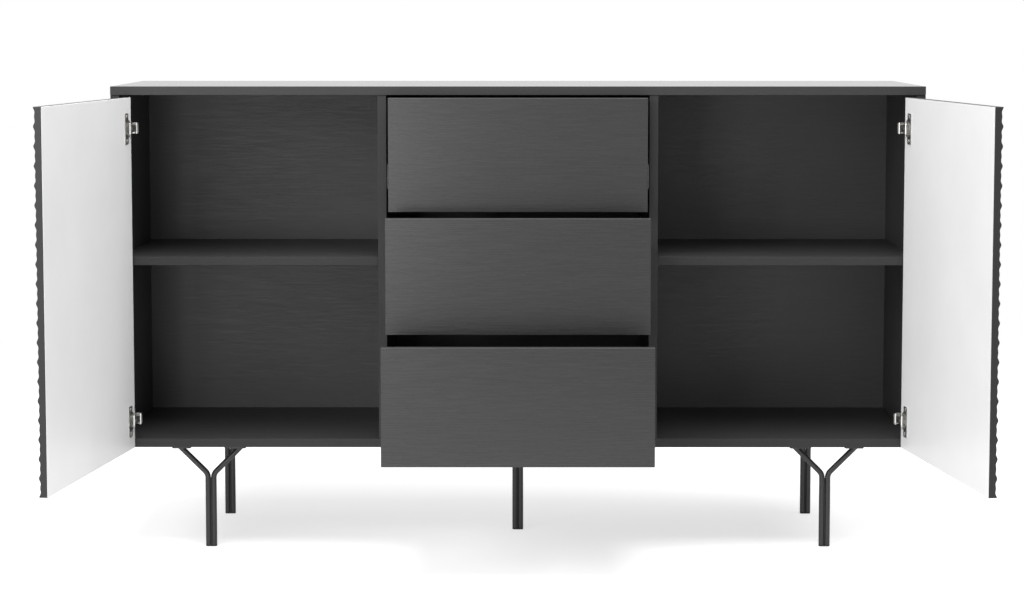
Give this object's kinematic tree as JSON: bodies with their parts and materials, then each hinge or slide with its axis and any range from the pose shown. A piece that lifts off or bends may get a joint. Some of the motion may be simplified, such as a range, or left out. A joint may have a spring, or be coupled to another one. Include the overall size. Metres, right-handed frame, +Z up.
{
  "type": "sideboard",
  "caption": "Charcoal sideboard with wave-milled hinged doors, shelves behind them, drawers on ball slides between, and slim forked rod legs; doors stand open, drawers staggered.",
  "frame": {"origin": "on the floor, under the middle of the centre leg", "axes": "+X to the viewer's right along the length, +Y to the back, +Z up; the doors and drawers face -Y"},
  "size_m": [1.5956, 0.8981, 0.867],
  "materials": {
    "charcoal_board": "matt charcoal foil with a fine lengthwise grain",
    "door_board": "matt charcoal foil over a milled wave; the back is white",
    "dark_panel": "matt dark grey foil",
    "black_steel": "satin black powder coat",
    "black_plastic": "matt",
    "plated_steel": "nickel plated"
  },
  "bodies": {
    "carcass": {"top_board": "charcoal_board", "bottom_board": "charcoal_board", "left_side_panel": "charcoal_board", "right_side_panel": "charcoal_board", "left_divider": "charcoal_board", "right_divider": "charcoal_board", "left_shelf": "charcoal_board", "right_shelf": "charcoal_board", "back_panel": "dark_panel", "front_left_leg": "black_steel", "front_right_leg": "black_steel", "back_left_leg": "black_steel", "back_right_leg": "black_steel", "centre_leg": "black_steel", "front_left_glide": "black_plastic", "front_right_glide": "black_plastic", "back_left_glide": "black_plastic", "back_right_glide": "black_plastic", "centre_glide": "black_plastic", "left_upper_hinge_arm": "plated_steel", "left_lower_hinge_arm": "plated_steel", "right_upper_hinge_arm": "plated_steel", "right_lower_hinge_arm": "plated_steel", "top_left_slide_cabinet_rail": "plated_steel", "top_right_slide_cabinet_rail": "plated_steel", "middle_left_slide_cabinet_rail": "plated_steel", "middle_right_slide_cabinet_rail": "plated_steel", "bottom_left_slide_cabinet_rail": "plated_steel", "bottom_right_slide_cabinet_rail": "plated_steel"},
    "left_hinge_links": {"left_upper_hinge_link": "plated_steel", "left_lower_hinge_link": "plated_steel"},
    "left_door": {"left_door": "door_board", "left_upper_hinge_cup": "plated_steel", "left_lower_hinge_cup": "plated_steel"},
    "right_hinge_links": {"right_upper_hinge_link": "plated_steel", "right_lower_hinge_link": "plated_steel"},
    "right_door": {"right_door": "door_board", "right_upper_hinge_cup": "plated_steel", "right_lower_hinge_cup": "plated_steel"},
    "top_middle_rails": {"top_left_slide_middle_rail": "plated_steel", "top_right_slide_middle_rail": "plated_steel"},
    "top_drawer": {"top_drawer_front": "charcoal_board", "top_drawer_surround": "dark_panel", "top_drawer_bottom": "dark_panel", "top_left_slide_drawer_rail": "plated_steel", "top_right_slide_drawer_rail": "plated_steel"},
    "middle_middle_rails": {"middle_left_slide_middle_rail": "plated_steel", "middle_right_slide_middle_rail": "plated_steel"},
    "middle_drawer": {"middle_drawer_front": "charcoal_board", "middle_drawer_surround": "dark_panel", "middle_drawer_bottom": "dark_panel", "middle_left_slide_drawer_rail": "plated_steel", "middle_right_slide_drawer_rail": "plated_steel"},
    "bottom_middle_rails": {"bottom_left_slide_middle_rail": "plated_steel", "bottom_right_slide_middle_rail": "plated_steel"},
    "bottom_drawer": {"bottom_drawer_front": "charcoal_board", "bottom_drawer_surround": "dark_panel", "bottom_drawer_bottom": "dark_panel", "bottom_left_slide_drawer_rail": "plated_steel", "bottom_right_slide_drawer_rail": "plated_steel"}
  },
  "joints": [
    {"name": "left_link_swing", "type": "hinge", "parent": "carcass", "child": "left_hinge_links", "pos_m": [-0.7034, -0.1959, 0.5195], "axis": [0, 0, 1], "range_deg": [-68.01, 1.25]},
    {"name": "left_door_swing", "type": "hinge", "parent": "left_hinge_links", "child": "left_door", "pos_m": [-0.71114, -0.222, 0.5195], "axis": [0, 0, 1], "range_deg": [-3.04, 166.2]},
    {"name": "right_link_swing", "type": "hinge", "parent": "carcass", "child": "right_hinge_links", "pos_m": [0.7034, -0.1959, 0.5195], "axis": [0, 0, -1], "range_deg": [-68.01, 1.25]},
    {"name": "right_door_swing", "type": "hinge", "parent": "right_hinge_links", "child": "right_door", "pos_m": [0.71114, -0.222, 0.5195], "axis": [0, 0, -1], "range_deg": [-3.04, 166.2]},
    {"name": "top_drawer_slide", "type": "slide", "parent": "carcass", "child": "top_drawer", "axis": [0, -1, 0], "range_m": [-0.03115, 0.31885]},
    {"name": "top_rails_slide", "type": "slide", "parent": "carcass", "child": "top_middle_rails", "axis": [0, -1, 0], "range_m": [-0.01558, 0.15943]},
    {"name": "middle_drawer_slide", "type": "slide", "parent": "carcass", "child": "middle_drawer", "axis": [0, -1, 0], "range_m": [-0.1519, 0.1981]},
    {"name": "middle_rails_slide", "type": "slide", "parent": "carcass", "child": "middle_middle_rails", "axis": [0, -1, 0], "range_m": [-0.07595, 0.09905]},
    {"name": "bottom_drawer_slide", "type": "slide", "parent": "carcass", "child": "bottom_drawer", "axis": [0, -1, 0], "range_m": [-0.31115, 0.03885]},
    {"name": "bottom_rails_slide", "type": "slide", "parent": "carcass", "child": "bottom_middle_rails", "axis": [0, -1, 0], "range_m": [-0.15557, 0.01943]}
  ],
  "couplings": [
    {"joint": "left_link_swing", "follows": "left_door_swing", "ratio": -0.40915},
    {"joint": "right_link_swing", "follows": "right_door_swing", "ratio": -0.40915},
    {"joint": "top_rails_slide", "follows": "top_drawer_slide", "ratio": 0.5},
    {"joint": "middle_rails_slide", "follows": "middle_drawer_slide", "ratio": 0.5},
    {"joint": "bottom_rails_slide", "follows": "bottom_drawer_slide", "ratio": 0.5}
  ]
}
